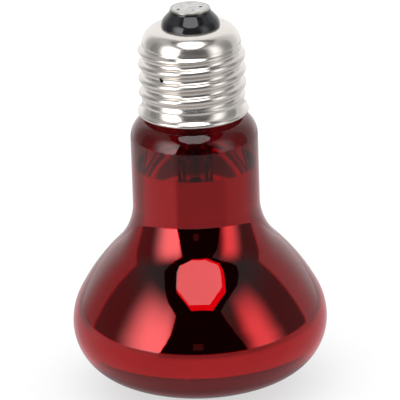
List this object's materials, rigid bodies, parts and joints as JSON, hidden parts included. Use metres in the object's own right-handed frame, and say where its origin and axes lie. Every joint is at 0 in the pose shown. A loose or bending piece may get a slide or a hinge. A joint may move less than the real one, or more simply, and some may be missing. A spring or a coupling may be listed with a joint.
{
  "type": "heat lamp bulb",
  "caption": "Red glass reflector heat lamp with a domed face, mirrored body, straight neck and a screw cap with a black insulator and a soldered centre contact.",
  "frame": {"origin": "where the slight flat in the middle of the domed face touches the table", "axes": "+Z along the lamp's axis from the face to the centre contact; -Y is the side that the picture shows"},
  "size_m": [0.063, 0.063, 0.0983],
  "materials": {
    "red_glass": "clear deep red, polished",
    "mirror_coat": "vacuum-coated aluminium inside the red glass",
    "nickel_plate": "bright nickel plate",
    "black_glass": "glossy black",
    "tinned_brass": "tinned",
    "tin_solder": "dull, pitted solder",
    "cement": "matt",
    "clear_glass": "clear",
    "lead_wire": "nickel-plated copper",
    "molybdenum": "drawn wire",
    "tungsten": "coiled wire"
  },
  "bodies": {
    "root": {"glass_bulb": "red_glass", "screw_shell": "nickel_plate", "cap_insulator": "black_glass", "contact_plate": "tinned_brass", "contact_solder": "tin_solder", "basing_cement": "cement", "glass_stem": "clear_glass", "exhaust_tube": "clear_glass", "glass_arbor": "clear_glass", "centre_lead": "lead_wire", "side_lead": "lead_wire", "filament": "tungsten", "support_wire_1": "molybdenum", "support_wire_2": "molybdenum", "support_wire_3": "molybdenum"}
  },
  "joints": []
}
